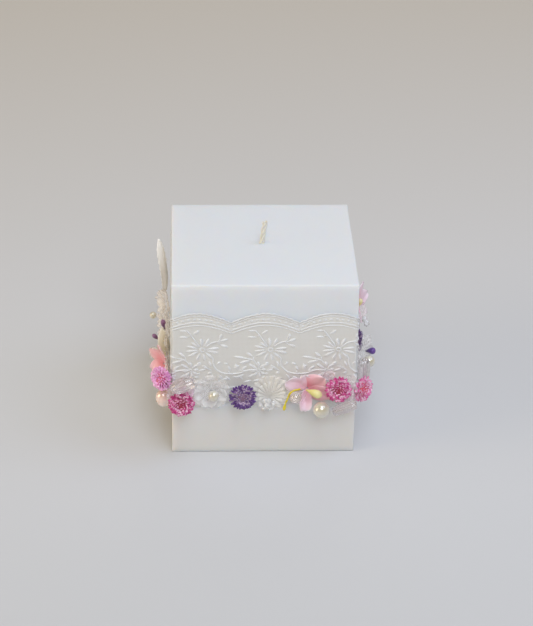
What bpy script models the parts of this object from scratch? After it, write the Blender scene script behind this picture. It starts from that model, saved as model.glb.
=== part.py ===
"""Square unity candle with a lace band and a garland of globe flowers, blossoms, pearls and glass beads.

Frame: metres, +Z up, origin at the centre of the wax's flat base, -Y is the candle's front.
Every garland piece is modelled lying on its back, facing local +Z, and is parented to the empty of the
side it is glued to, whose X runs along the side, Y runs up and Z points out of the wax.
"""

from math import atan2, cos, floor, hypot, pi, radians, sin

import bmesh
import bpy
from mathutils import Matrix, Vector

MM = 0.001
FIT_GAP = 0.3 * MM
MERGE = 0.05 * MM

# Candle
SIDE = 100 * MM
HEIGHT = 103 * MM
WAX_ROUND = 0.9 * MM
WICK_RADIUS = 1.5 * MM
WICK_ABOVE_WAX = 13 * MM
WAX_FLOOR = 2.0 * MM

# Wick sustainer, a pressed steel tab with a neck that grips the wick
TAB_RADIUS = 10 * MM
TAB_SHEET = 0.4 * MM
NECK_HEIGHT = 6 * MM
NECK_WALL = 0.4 * MM

# Lace band
LACE_SHEET = 0.6 * MM
LACE_SLACK = 0.5 * MM
LACE_CORNER = 2.0 * MM
LACE_SEAM = 0.6 * MM
SCALLOPS = 11
SCALLOP_STEPS = 12
LACE_TOP_VALLEY = 80.4 * MM
LACE_TOP_PEAK = 85.8 * MM
LACE_LOW_VALLEY = 31.5 * MM
LACE_LOW_PEAK = 28.5 * MM
LACE_OUT = LACE_SLACK + LACE_SHEET

# Fabric flowers and leaves
PETAL_SHEET = 0.5 * MM
FLOWER_HOLE = 1.8 * MM

# Glue line and the plane that the garland pieces lie on, both measured out from the wax
GLUE_SHEET = 0.4 * MM
GLUE_HEIGHT = 3.0 * MM
GLUE_LEVEL = 40 * MM
GLUE_IN = LACE_OUT + FIT_GAP
GARLAND_PLANE = GLUE_IN + GLUE_SHEET + FIT_GAP

SIDE_NAMES = ("front", "right", "back", "left")
COLOURS = {
    "wax": ((0.86, 0.86, 0.85), 0.45, 0.0),
    "cotton": ((0.86, 0.80, 0.64), 0.90, 0.0),
    "steel": ((0.62, 0.62, 0.64), 0.35, 1.0),
    "lace": ((0.84, 0.83, 0.80), 0.85, 0.0),
    "glue": ((0.90, 0.88, 0.84), 0.30, 0.0),
    "globe_pink": ((0.62, 0.10, 0.33), 0.75, 0.0),
    "globe_purple": ((0.16, 0.07, 0.27), 0.75, 0.0),
    "organza": ((0.88, 0.85, 0.83), 0.60, 0.0),
    "petal_pink": ((0.90, 0.56, 0.62), 0.60, 0.0),
    "petal_coral": ((0.90, 0.42, 0.42), 0.60, 0.0),
    "leaf_yellow": ((0.82, 0.78, 0.45), 0.60, 0.0),
    "stamen_yellow": ((0.86, 0.76, 0.26), 0.55, 0.0),
    "pearl": ((0.90, 0.89, 0.78), 0.15, 0.0),
    "pearl_peach": ((0.92, 0.74, 0.62), 0.15, 0.0),
    "glass_clear": ((0.90, 0.90, 0.88), 0.05, 0.0),
    "glass_pink": ((0.90, 0.80, 0.81), 0.05, 0.0),
}


# ---------------------------------------------------------------- scene and small helpers

def clear_scene():
    for obj in list(bpy.data.objects):
        bpy.data.objects.remove(obj)


def new_collection(name):
    collection = bpy.data.collections.new(name)
    bpy.context.scene.collection.children.link(collection)
    return collection


def make_material(name):
    colour, roughness, metallic = COLOURS[name]
    material = bpy.data.materials.new(name)
    material.use_nodes = True
    shader = material.node_tree.nodes["Principled BSDF"]
    shader.inputs["Base Color"].default_value = (*colour, 1.0)
    shader.inputs["Roughness"].default_value = roughness
    shader.inputs["Metallic"].default_value = metallic
    return material


def add_object(name, data, material=None, collection=None):
    obj = bpy.data.objects.new(name, data)
    (collection or PARTS).objects.link(obj)
    if material:
        data.materials.append(MATERIALS[material])
    return obj


def mesh_object(name, bm, material=None, collection=None, smooth=True):
    mesh = bpy.data.meshes.new(name)
    bm.to_mesh(mesh)
    bm.free()
    if smooth:
        mesh.shade_smooth()
        mesh.set_sharp_from_angle(angle=radians(40))
    return add_object(name, mesh, material, collection)


def add_bevel(obj, width, segments=2):
    bevel = obj.modifiers.new("rounded_edges", "BEVEL")
    bevel.width = width
    bevel.segments = segments
    return obj


def add_solidify(obj, thickness, offset=0.0):
    shell = obj.modifiers.new("sheet", "SOLIDIFY")
    shell.thickness = thickness
    shell.offset = offset
    return obj


def add_screw(obj, steps):
    screw = obj.modifiers.new("turned", "SCREW")
    screw.axis = "Z"
    screw.steps = steps
    screw.render_steps = steps
    screw.use_merge_vertices = True
    screw.merge_threshold = MERGE
    return obj


def turned(name, profile, steps, material=None, collection=None, closed=False):
    """A profile of (radius, height) pairs, running down its outer side, turned about the local Z axis."""
    bm = bmesh.new()
    verts = [bm.verts.new((radius, 0, height)) for radius, height in profile]
    for pair in zip(verts, verts[1:]):
        bm.edges.new(pair)
    if closed:
        bm.edges.new((verts[-1], verts[0]))
    return add_screw(mesh_object(name, bm, material, collection), steps)


def wire(name, points, radii, material, bevel_resolution=2):
    """A round wire through points, with its own radius at each point and closed ends."""
    curve = bpy.data.curves.new(name, "CURVE")
    curve.dimensions = "3D"
    curve.bevel_depth = 1.0
    curve.bevel_resolution = bevel_resolution
    curve.use_fill_caps = True
    spline = curve.splines.new("POLY")
    spline.points.add(len(points) - 1)
    for spot, place, radius in zip(spline.points, points, radii):
        spot.co = (*place, 1.0)
        spot.radius = radius
    return add_object(name, curve, material)


def side_empty(name, quarter_turns):
    """The frame of one side of the candle: X along it, Y up, Z out, origin on the floor under its middle."""
    empty = bpy.data.objects.new(name, None)
    PARTS.objects.link(empty)
    empty.matrix_world = (
        Matrix.Rotation(quarter_turns * pi / 2, 4, "Z")
        @ Matrix.Translation((0, -SIDE / 2, 0))
        @ Matrix.Rotation(pi / 2, 4, "X")
    )
    return empty


def place(obj, side, along, level, out=0.0, aim=(0, 0, 1), spin=0.0):
    """Puts a garland piece on a side. Lengths are in mm, with out counted from the garland plane. Aim is
    where the piece's own Z axis points in the side's frame, and spin turns it about that axis, in degrees."""
    obj.parent = SIDES[side]
    obj.location = (along * MM, level * MM, GARLAND_PLANE + out * MM)
    turn = Vector((0, 0, 1)).rotation_difference(Vector(aim)).to_matrix()
    obj.rotation_euler = (turn @ Matrix.Rotation(radians(spin), 3, "Z")).to_euler()
    return obj


# ---------------------------------------------------------------- candle

def wax_body():
    """The poured wax block. Its wick channel opens at the top and widens near the base into the pocket
    that the sustainer is cast into, under a skin of wax that keeps the base flat."""
    bpy.ops.mesh.primitive_cube_add(size=1, location=(0, 0, HEIGHT / 2))
    wax = bpy.context.active_object
    wax.name = "wax_body"
    wax.scale = (SIDE, SIDE, HEIGHT)
    bpy.ops.object.transform_apply(location=False, rotation=False, scale=True)
    wax.data.materials.append(MATERIALS["wax"])
    for collection in list(wax.users_collection):
        collection.objects.unlink(wax)
    PARTS.objects.link(wax)
    add_bevel(wax, WAX_ROUND)

    channel = WICK_RADIUS + FIT_GAP
    neck = WICK_RADIUS + FIT_GAP + NECK_WALL + FIT_GAP
    tab_top = WAX_FLOOR + FIT_GAP + TAB_SHEET + FIT_GAP
    neck_top = tab_top + NECK_HEIGHT
    profile = [
        (0, HEIGHT + 5 * MM),
        (channel, HEIGHT + 5 * MM),
        (channel, neck_top),
        (neck, neck_top),
        (neck, tab_top),
        (TAB_RADIUS + FIT_GAP, tab_top),
        (TAB_RADIUS + FIT_GAP, WAX_FLOOR),
        (0, WAX_FLOOR),
    ]
    cutter = turned("wick_channel_cutter", profile, 16, collection=CUTTERS)
    cutter.hide_render = True
    cutter.display_type = "WIRE"
    cut = wax.modifiers.new("wick_channel", "BOOLEAN")
    cut.operation = "DIFFERENCE"
    cut.object = cutter


def wick():
    """A braided cotton wick from inside the sustainer's neck to above the wax, where it leans a little."""
    foot = WAX_FLOOR + 2 * FIT_GAP
    tip = HEIGHT + WICK_ABOVE_WAX
    points = [
        (0, 0, foot),
        (0, 0, HEIGHT),
        (0.1 * MM, 0, HEIGHT + 0.35 * WICK_ABOVE_WAX),
        (0.4 * MM, 0.1 * MM, HEIGHT + 0.75 * WICK_ABOVE_WAX),
        (0.7 * MM, 0.2 * MM, tip),
    ]
    wire("wick", points, [WICK_RADIUS] * 4 + [0.8 * WICK_RADIUS], "cotton")


def wick_sustainer():
    """A round steel tab with a neck: one pressed sheet, turned."""
    bore = WICK_RADIUS + FIT_GAP
    low = WAX_FLOOR + FIT_GAP
    neck_top = low + TAB_SHEET + NECK_HEIGHT
    profile = [
        (bore + NECK_WALL, neck_top),
        (bore + NECK_WALL, low + TAB_SHEET),
        (TAB_RADIUS, low + TAB_SHEET),
        (TAB_RADIUS, low),
        (bore, low),
        (bore, neck_top),
    ]
    turned("wick_sustainer", profile, 16, "steel", closed=True)


# ---------------------------------------------------------------- lace band and glue

LACE_HALF = SIDE / 2 + LACE_SLACK + LACE_SHEET / 2
LACE_STRAIGHT = LACE_HALF - LACE_CORNER
LACE_QUARTER = 2 * LACE_STRAIGHT + LACE_CORNER * pi / 2
SCALLOP_PITCH = 4 * LACE_QUARTER / SCALLOPS


def lace_path(run):
    """The point on the band's middle line that is run metres round it from the front's middle."""
    side = floor(run / LACE_QUARTER + 0.5)
    local = run - side * LACE_QUARTER
    angle = max(0.0, abs(local) - LACE_STRAIGHT) / LACE_CORNER
    direction = 1 if local > 0 else -1
    if angle > 0:
        along = direction * (LACE_STRAIGHT + LACE_CORNER * sin(angle))
        spot = Vector((along, -LACE_STRAIGHT - LACE_CORNER * cos(angle)))
    else:
        spot = Vector((local, -LACE_HALF))
    spot.rotate(Matrix.Rotation(side * pi / 2, 2))
    return spot


def lace_runs():
    """Where the band has a column of points: evenly along each scallop, and closely round each corner."""
    end = 2 * LACE_QUARTER - LACE_SEAM / 2
    step = SCALLOP_PITCH / SCALLOP_STEPS
    even = [step * k for k in range(-floor(end / step), floor(end / step) + 1)]
    corners = [
        quarter * LACE_QUARTER + LACE_STRAIGHT + LACE_CORNER * radians(angle)
        for quarter in range(-2, 2)
        for angle in (0, 22.5, 45, 67.5, 90)
    ]
    clear = 1.2 * MM
    kept = [run for run in even if min(abs(run - corner) for corner in corners) > clear]
    return sorted(kept + corners + [-end, end])


def lace_band():
    """One strip wrapped once round the wax, scalloped along both edges. Its ends meet behind the candle."""
    runs = lace_runs()
    bm = bmesh.new()
    bmesh.ops.create_grid(bm, x_segments=len(runs) - 1, y_segments=1, size=0.5)
    for vert in bm.verts:
        run = runs[round((vert.co.x + 0.5) * (len(runs) - 1))]
        scallop = abs(cos(pi * run / SCALLOP_PITCH))
        if vert.co.y > 0:
            level = LACE_TOP_VALLEY + (LACE_TOP_PEAK - LACE_TOP_VALLEY) * scallop
        else:
            level = LACE_LOW_VALLEY + (LACE_LOW_PEAK - LACE_LOW_VALLEY) * scallop
        vert.co = (*lace_path(run), level)
    bmesh.ops.recalc_face_normals(bm, faces=bm.faces)
    add_solidify(mesh_object("lace_band", bm, "lace"), LACE_SHEET)


def glue_line(side):
    """The flattened string of clear hot-melt glue that holds one side's garland to the lace."""
    bm = bmesh.new()
    bmesh.ops.create_cube(bm, size=1)
    bmesh.ops.scale(bm, verts=bm.verts, vec=(SIDE - 14 * MM, GLUE_HEIGHT, GLUE_SHEET))
    glue = add_bevel(mesh_object(f"{side}_glue_line", bm, "glue"), 0.15 * MM, segments=1)
    glue.parent = SIDES[side]
    glue.location = (0, GLUE_LEVEL, GLUE_IN + GLUE_SHEET / 2)


# ---------------------------------------------------------------- garland pieces

def globe_flower(name, colour, across=14.0):
    """A dried globe flower head: a flattened ball of bracts, every other point drawn in."""
    radius = across / 2 * MM
    flatness = 0.56
    bm = bmesh.new()
    bmesh.ops.create_uvsphere(bm, u_segments=18, v_segments=8, radius=radius)
    for index, vert in enumerate(bm.verts):
        if index % 2:
            vert.co *= 0.93
        vert.co.z = (vert.co.z + radius) * flatness
    return mesh_object(name, bm, colour)


def round_bead(name, colour, across, tall=1.0):
    """A pearl or a glass bead, resting on its lowest point. Tall is its height over its width."""
    radius = across / 2 * MM
    bm = bmesh.new()
    bmesh.ops.create_uvsphere(bm, u_segments=14, v_segments=8, radius=radius)
    for vert in bm.verts:
        vert.co.z = (vert.co.z + radius) * tall
    return mesh_object(name, bm, colour)


def crystal(name, across=4.0):
    """A cut glass bicone, resting on its lower point."""
    radius = across / 2 * MM
    bm = bmesh.new()
    bmesh.ops.create_uvsphere(bm, u_segments=8, v_segments=4, radius=radius)
    bmesh.ops.translate(bm, verts=bm.verts, vec=(0, 0, radius))
    return mesh_object(name, bm, "glass_clear", smooth=False)


def drilled_bead(name, colour, length, across, waist=1.0):
    """A long glass bead centred on the origin along local Z and drilled end to end. Waist is its end width
    over its middle width."""
    half, radius, bore = length / 2 * MM, across / 2 * MM, 0.6 * MM
    end = max(waist * radius, bore + 0.5 * MM)
    profile = [
        (bore + 0.2 * MM, half),
        (end, 0.86 * half),
        (radius, 0.35 * half),
        (radius, -0.35 * half),
        (end, -0.86 * half),
        (bore + 0.2 * MM, -half),
        (bore, -0.92 * half),
        (bore, 0.92 * half),
    ]
    return turned(name, profile, 12, colour, closed=True)


def petal_disc(name, colour, across, petals, notch, rise, pleat=0.0, rings=2):
    """A fabric flower: an open, cupped disc with a petalled rim round a centre hole, as a thin sheet. Notch
    is how deep the gaps between petals go, as a share of the radius."""
    inner, outer = FLOWER_HOLE / 2, across / 2 * MM
    steps = 30 if petals == 5 else 4 * petals
    bm = bmesh.new()
    spoke = [bm.verts.new((inner + (outer - inner) * i / rings, 0, 0)) for i in range(rings + 1)]
    edges = [bm.edges.new(pair) for pair in zip(spoke, spoke[1:])]
    bmesh.ops.spin(
        bm, geom=spoke + edges, cent=(0, 0, 0), axis=(0, 0, 1), angle=2 * pi, steps=steps, use_merge=True
    )
    for vert in bm.verts:
        share = max(0.0, (hypot(vert.co.x, vert.co.y) - inner) / (outer - inner))
        angle = atan2(vert.co.y, vert.co.x)
        lobe = abs(cos(petals * angle / 2)) ** 0.6
        shrink = 1 - notch * share * (1 - lobe)
        vert.co.x *= shrink
        vert.co.y *= shrink
        vert.co.z = (0.4 + rise * share**1.5 + pleat * share * cos(petals * angle)) * MM
    bmesh.ops.recalc_face_normals(bm, faces=bm.faces)
    return add_solidify(mesh_object(name, bm, colour), PETAL_SHEET)


def organza_flower(name, across=17.0):
    return petal_disc(name, "organza", across, petals=5, notch=0.30, rise=2.4)


def pleated_rosette(name, across=18.0):
    return petal_disc(name, "organza", across, petals=10, notch=0.08, rise=1.6, pleat=0.35)


def blossom(name, colour, across=25.0):
    return petal_disc(name, colour, across, petals=5, notch=0.50, rise=3.6, rings=3)


def teardrop(name, colour, length, across):
    """A bud or stamen head: a thin stalk at the origin that swells along local Z and closes round."""
    shares = (0.0, 0.12, 0.30, 0.55, 0.80, 0.94, 1.0)
    swell = (0.16, 0.30, 0.62, 0.92, 1.00, 0.72, 0.25)
    points = [(0, 0, share * length * MM) for share in shares]
    return wire(name, points, [s * across / 2 * MM for s in swell], colour)


def curled_stamen(name):
    """A fine yellow filament that arches out of the blossom's heart and hangs to a swollen tip."""
    path = [(0, 0), (-3.0, 0.6), (-5.6, -0.8), (-7.2, -4.0), (-7.9, -7.5), (-8.4, -9.6), (-8.9, -11.6)]
    height = [0.0, 1.6, 2.4, 2.2, 1.6, 1.2, 1.0]
    radii = [0.35, 0.40, 0.40, 0.40, 0.40, 0.80, 0.85]
    points = [(x * MM, y * MM, z * MM) for (x, y), z in zip(path, height)]
    return wire(name, points, [r * MM for r in radii], "stamen_yellow")


def fabric_leaf(name, colour, length, width, bend):
    """A pointed leaf that rises along local Y from the origin and bends away from the wax."""
    bm = bmesh.new()
    bmesh.ops.create_grid(bm, x_segments=2, y_segments=8, size=0.5)
    for vert in bm.verts:
        share = vert.co.y + 0.5
        half = width / 2 * (sin(pi * (0.12 + 0.85 * share)) ** 0.8)
        crease = 0.5 * (1 - abs(2 * vert.co.x))
        lift = 0.5 + bend * share**2 - 0.5 * crease
        vert.co = (2 * vert.co.x * half * MM, share * length * MM, lift * MM)
    bmesh.ops.recalc_face_normals(bm, faces=bm.faces)
    return add_solidify(mesh_object(name, bm, colour), PETAL_SHEET)


# ---------------------------------------------------------------- garland layout, side by side

UPRIGHT = (0, 1, 0)
SLANT = (9, 4, 0)


def front_garland():
    side = "front"
    place(organza_flower("front_left_petals", 14.5), side, -44.6, 38.6, spin=48)
    place(globe_flower("front_globe_flower_left", "globe_pink"), side, -45.0, 35.0, 3.2)
    place(drilled_bead("front_oval_bead", "glass_pink", 13.5, 8.2, 0.6), side, -44.0, 47.0, 8.4, aim=SLANT)
    place(organza_flower("front_organza_flower", 17.6), side, -28.0, 40.2, spin=20)
    place(round_bead("front_organza_pearl", "pearl", 6), side, -28.0, 40.0, 1.3)
    place(globe_flower("front_globe_flower_purple", "globe_purple"), side, -12.4, 38.4)
    place(pleated_rosette("front_rosette", 18.6), side, 4.2, 38.8, spin=9)
    place(crystal("front_rosette_crystal"), side, 2.4, 34.6, 1.6)
    place(blossom("front_blossom", "petal_pink", 24), side, 23.6, 42.0, spin=62)
    place(curled_stamen("front_curled_stamen"), side, 19.8, 43.0, 4.6)
    place(teardrop("front_blossom_stamen", "stamen_yellow", 8.5, 3.8), side, 22.8, 43.2, 5.4, aim=(8, -3, 1))
    place(round_bead("front_clear_bead", "glass_clear", 6.4), side, 17.4, 39.8, 6.0)
    place(round_bead("front_pearl", "pearl", 9), side, 31.0, 30.0, 2.8)
    place(organza_flower("front_right_petals", 15), side, 43.4, 38.6, spin=30)
    place(globe_flower("front_globe_flower_right", "globe_pink"), side, 40.6, 43.0, 3.3)
    place(drilled_bead("front_tube_bead", "glass_pink", 13, 5.6, 0.85), side, 43.0, 31.4, 6.4, aim=SLANT)


def right_garland():
    side = "right"
    place(globe_flower("right_globe_flower_pink", "globe_pink"), side, -49.4, 41.0)
    place(drilled_bead("right_tube_bead", "glass_pink", 12.5, 6.2, 0.85), side, -35.6, 41.0, 3.4, aim=UPRIGHT)
    place(round_bead("right_pearl", "pearl", 6.5), side, -22.4, 40.0, 3.4)
    place(organza_flower("right_organza_flower"), side, -12.0, 40.6, 2.6, aim=(-1.2, 0, 2), spin=33)
    place(teardrop("right_purple_bud", "globe_purple", 5.5, 3.6), side, -10.6, 41.0, 6.2, aim=(-2, 1, 5))
    place(globe_flower("right_globe_flower_purple", "globe_purple"), side, 5.0, 40.0)
    place(crystal("right_crystal_near", 4.4), side, 17.0, 40.6, 4.4)
    place(crystal("right_crystal_far", 4.4), side, 22.2, 40.2, 5.6)
    place(blossom("right_blossom", "petal_pink"), side, 36.0, 44.6, 2.2, aim=(-1, 0.4, 3), spin=50)
    place(teardrop("right_blossom_stamen", "stamen_yellow", 8, 3.2), side, 34.4, 44.2, 7.4, aim=(-7, 4, 1))


def back_garland():
    side = "back"
    place(globe_flower("back_globe_flower_left", "globe_pink"), side, -44.0, 35.6)
    place(drilled_bead("back_oval_bead", "glass_pink", 13.5, 8.2, 0.6), side, -42.0, 49.2, 4.4, aim=SLANT)
    place(organza_flower("back_organza_flower"), side, -27.4, 41.0, spin=55)
    place(round_bead("back_organza_pearl", "pearl", 6), side, -28.2, 40.0, 1.3)
    place(globe_flower("back_globe_flower_purple", "globe_purple"), side, -11.4, 39.4)
    place(pleated_rosette("back_rosette"), side, 5.0, 40.4, spin=14)
    place(crystal("back_rosette_crystal"), side, 4.2, 37.4, 1.6)
    place(blossom("back_blossom", "petal_pink", 24), side, 24.0, 41.4, spin=100)
    place(teardrop("back_blossom_stamen", "stamen_yellow", 8.5, 3.4), side, 23.6, 42.0, 5.6, aim=(-7, -4, 1))
    place(round_bead("back_pearl", "pearl", 8), side, 37.0, 31.2, 0.8)
    place(globe_flower("back_globe_flower_right", "globe_pink"), side, 43.4, 43.4)
    place(drilled_bead("back_tube_bead", "glass_pink", 12, 5.2, 0.85), side, 47.2, 28.6, 3.0, aim=UPRIGHT)


def left_garland():
    side = "left"
    place(round_bead("left_peach_bead", "pearl_peach", 8, tall=1.3), side, 46.4, 25.4, 4.2, aim=UPRIGHT)
    place(globe_flower("left_globe_flower_pink", "globe_pink"), side, 46.0, 43.4, 2.4, aim=(1, 0, 1))
    place(blossom("left_blossom", "petal_coral", 21), side, 26.0, 41.0, 3.6, aim=(1.2, 0, 2), spin=25)
    place(round_bead("left_bead", "glass_clear", 5), side, 10.6, 39.6, 6.0)
    place(fabric_leaf("left_yellow_leaf", "leaf_yellow", 17, 9, 2), side, 5.0, 35.0, 4.6, aim=(5, 0, 3))
    place(teardrop("left_purple_bud_near", "globe_purple", 7, 3.4), side, -4.4, 42.6, 4.8, aim=(-0.2, 2, 2))
    place(teardrop("left_purple_bud_far", "globe_purple", 8, 4.2), side, -9.6, 41.6, 2.4, aim=(-0.8, 4, 0.8))
    place(organza_flower("left_organza_flower"), side, -21.0, 40.0, 2.6, aim=(1.0, 0, 2), spin=40)
    place(round_bead("left_organza_pearl", "pearl", 5), side, -33.6, 40.4, 6.4)
    place(organza_flower("left_corner_flower", 18), side, -40.0, 44.0, 2.6, aim=(1, 0, 2), spin=8)
    place(fabric_leaf("left_corner_leaf", "organza", 31, 11, 3), side, -39, 54.4, 4.4, aim=(5, 0, 3), spin=6)


def build():
    wax_body()
    wick()
    wick_sustainer()
    lace_band()
    for side in SIDES:
        glue_line(side)
    front_garland()
    right_garland()
    back_garland()
    left_garland()


clear_scene()
PARTS = new_collection("unity_candle")
CUTTERS = new_collection("cutters")
MATERIALS = {name: make_material(name) for name in COLOURS}
SIDES = {name: side_empty(f"{name}_side", turns) for turns, name in enumerate(SIDE_NAMES)}
build()
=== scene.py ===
"""The unity candle's looks: poured wax, a braided wick, embroidered lace and a glued garland of dried globe
flowers, organza and silk blossoms, pearls and glass beads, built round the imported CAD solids.

Layout tables are in millimetres; everything is built in metres in the CAD's frame.
"""

import random
from math import acos, ceil, copysign, cos, exp, floor, hypot, log, pi, radians, sin, sqrt

import bmesh
import bpy
from mathutils import Matrix, Vector, noise

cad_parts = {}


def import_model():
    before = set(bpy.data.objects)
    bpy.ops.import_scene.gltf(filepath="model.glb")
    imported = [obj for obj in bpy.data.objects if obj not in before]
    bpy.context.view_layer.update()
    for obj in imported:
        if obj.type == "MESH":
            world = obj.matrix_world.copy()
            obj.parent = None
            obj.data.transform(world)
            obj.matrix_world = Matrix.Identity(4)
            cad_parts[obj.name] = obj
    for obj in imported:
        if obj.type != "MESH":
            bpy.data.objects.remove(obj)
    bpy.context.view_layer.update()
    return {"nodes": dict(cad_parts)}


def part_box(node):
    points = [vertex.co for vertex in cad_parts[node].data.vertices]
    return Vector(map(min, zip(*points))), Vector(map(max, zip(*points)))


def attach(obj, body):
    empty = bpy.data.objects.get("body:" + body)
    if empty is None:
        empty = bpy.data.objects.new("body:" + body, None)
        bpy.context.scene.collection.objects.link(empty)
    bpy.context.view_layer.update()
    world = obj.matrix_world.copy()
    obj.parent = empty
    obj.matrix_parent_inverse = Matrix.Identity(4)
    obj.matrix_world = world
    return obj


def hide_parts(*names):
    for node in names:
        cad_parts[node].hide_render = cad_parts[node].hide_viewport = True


MM = 0.001
SIDE_TURNS = {"front": 0, "right": 1, "back": 2, "left": 3}
GOLDEN_ANGLE = pi * (3 - sqrt(5))

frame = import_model()
WAX_LOW, WAX_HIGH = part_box("wax_body")
LACE_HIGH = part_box("lace_band")[1]
WICK_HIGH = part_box("wick")[1]


# -------------------------------- material graphs

MATERIALS = {}


def srgb(red, green, blue):
    """A linear colour from display values of 0 to 255."""
    return tuple(((value / 255 + 0.055) / 1.055) ** 2.4 for value in (red, green, blue))


class Graph:
    """The nodes of one new material or world. An input is linked when its value is another node's output."""

    def __init__(self, name, family="materials"):
        self.owner = getattr(bpy.data, family).new(name)
        self.owner.use_nodes = True
        self.tree = self.owner.node_tree
        self.tree.nodes.clear()
        self.name = name

    def add(self, kind, inputs=None, pick=0, **settings):
        """A node with its inputs by name or number. Returns the output that pick names."""
        node = self.tree.nodes.new("ShaderNode" + kind)
        for key, value in settings.items():
            setattr(node, key, value)
        for key, value in (inputs or {}).items():
            socket = node.inputs[key]
            if isinstance(value, bpy.types.NodeSocket):
                self.tree.links.new(value, socket)
            else:
                socket.default_value = (*value, 1.0) if socket.type == "RGBA" else value
        return node.outputs[pick]

    def math(self, operation, a, b, clamp=False):
        return self.add("Math", {0: a, 1: b}, operation=operation, use_clamp=clamp)

    def plus(self, a, b, clamp=False):
        return self.math("ADD", a, b, clamp)

    def times(self, a, b):
        return self.math("MULTIPLY", a, b)

    def between(self, value, start, end):
        """0 where value is at start and 1 where it is at end, held at 0 and 1 beyond them."""
        return self.math("DIVIDE", self.math("SUBTRACT", value, start), end - start, clamp=True)

    def mix(self, share, a, b):
        return self.add("Mix", {0: share, 6: a, 7: b}, 2, data_type="RGBA")

    def blend(self, share, first, second):
        return self.add("MixShader", {0: share, 1: first, 2: second})

    def ramp(self, value, stops):
        """A colour ramp through stops of (position, red, green, blue), in display values."""
        output = self.add("ValToRGB", {"Fac": value})
        elements = output.node.color_ramp.elements
        while len(elements) < len(stops):
            elements.new(0.5)
        for element, (position, *colour) in zip(elements, stops):
            element.position = position
            element.color = (*srgb(*colour), 1.0)
        return output

    def dye(self, stops, blotch, amount):
        """A ramp along the mesh's tint, made uneven by a noise."""
        uneven = self.times(self.math("SUBTRACT", blotch, 0.5), amount)
        return self.ramp(self.plus(self.attribute("tint"), uneven, clamp=True), stops)

    def place(self):
        return self.add("TexCoord", pick="Object")

    def axis(self, name):
        return self.add("SeparateXYZ", {"Vector": self.place()}, name)

    def attribute(self, name, pick="Fac"):
        return self.add("Attribute", pick=pick, attribute_name=name)

    def ray(self, kind):
        return self.add("LightPath", pick=f"Is {kind} Ray")

    def noise(self, scale, detail=3.0, roughness=0.5, stretch=(1, 1, 1)):
        spot = self.add("Mapping", {"Vector": self.place(), "Scale": stretch})
        inputs = {"Vector": spot, "Scale": scale, "Detail": detail, "Roughness": roughness}
        return self.add("TexNoise", inputs)

    def body(self, colour, roughness, bump=None, soft=None, coat=None, sheen=None, **inputs):
        """A Principled surface. Bump is (height, depth in mm, strength), soft is the subsurface's (weight,
        reach in mm, radius), coat and sheen are (weight, roughness), and inputs are the other ones."""
        if bump:
            height, depth, strength = bump
            relief = {"Height": height, "Distance": depth * MM, "Strength": strength}
            inputs["Normal"] = self.add("Bump", relief)
        if soft:
            weight, reach, radius = soft
            inputs.update(Subsurface_Weight=weight, Subsurface_Scale=reach * MM, Subsurface_Radius=radius)
        if coat:
            inputs.update(Coat_Weight=coat[0], Coat_Roughness=coat[1])
        if sheen:
            inputs.update(Sheen_Weight=sheen[0], Sheen_Roughness=sheen[1])
        inputs.update(Base_Color=colour, Roughness=roughness)
        return self.add("BsdfPrincipled", {key.replace("_", " "): value for key, value in inputs.items()})

    def translucent(self, share, sheet, colour):
        """A thin sheet that lets some light through to its far side."""
        return self.blend(share, sheet, self.add("BsdfTranslucent", {"Color": colour}))

    def show(self, shader, kind="Material"):
        output = self.tree.nodes.new("ShaderNodeOutput" + kind)
        self.tree.links.new(shader, output.inputs["Surface"])

    def finish(self, shader):
        self.show(shader)
        MATERIALS[self.name] = self.owner


# -------------------------------- materials

WAX_COLOUR = (0.75, 0.78, 0.825)
WAX_COLOUR_DEEP = (0.77, 0.785, 0.805)
# Painted shade: the warmer, darker tint of the wax below the garland.
WAX_COLOUR_PAINTED_SHADE = (0.715, 0.705, 0.69)
WAX_BLOOM = (0.93, 0.93, 0.94)
# The height below which the painted shade under the garland starts.
WAX_PAINTED_SHADE_BELOW = 48 * MM


def wax_material():
    """Clouded wax with a faint frost on its skin, tinted warmer and darker towards its foot as painted shade
    under the garland, and soft light inside it.
    """
    g = Graph("wax")
    frost = g.noise(260, 5, 0.6)
    colour = g.mix(g.between(g.noise(14, 4), 0.35, 0.7), WAX_COLOUR, WAX_COLOUR_DEEP)
    colour = g.mix(g.times(frost, 0.10), colour, WAX_BLOOM)
    # Painted shade: below the garland the colour fades to a warmer, darker tint that stands in for its
    # shadow.
    low = g.math("POWER", g.between(g.axis("Z"), WAX_PAINTED_SHADE_BELOW, 0), 0.6)
    colour = g.mix(low, colour, WAX_COLOUR_PAINTED_SHADE)
    skin = g.plus(g.times(g.noise(30, 2), 0.8), g.times(frost, 0.05))
    roughness = g.plus(0.48, g.times(frost, 0.16))
    soft = (0.55, 7, (1.0, 0.72, 0.52))
    g.finish(g.body(colour, roughness, bump=(skin, 0.25, 0.35), soft=soft, Specular_IOR_Level=0.12))


def cotton_material():
    g = Graph("wick_cotton")
    fibres = g.noise(900, 3, 0.6, stretch=(3, 3, 0.5))
    colour = g.mix(fibres, srgb(216, 212, 198), srgb(234, 232, 224))
    soft = (0.4, 0.8, (1.0, 0.8, 0.5))
    g.finish(g.body(colour, 0.62, bump=(fibres, 0.12, 0.8), soft=soft, coat=(0.25, 0.4)))


def steel_material():
    g = Graph("sustainer_steel")
    grain = g.noise(400, 4, 0.7, stretch=(1, 1, 12))
    colour = g.mix(grain, (0.42, 0.42, 0.44), (0.66, 0.66, 0.68))
    g.finish(g.body(colour, g.plus(0.22, g.times(grain, 0.2)), Metallic=1.0))


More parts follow.
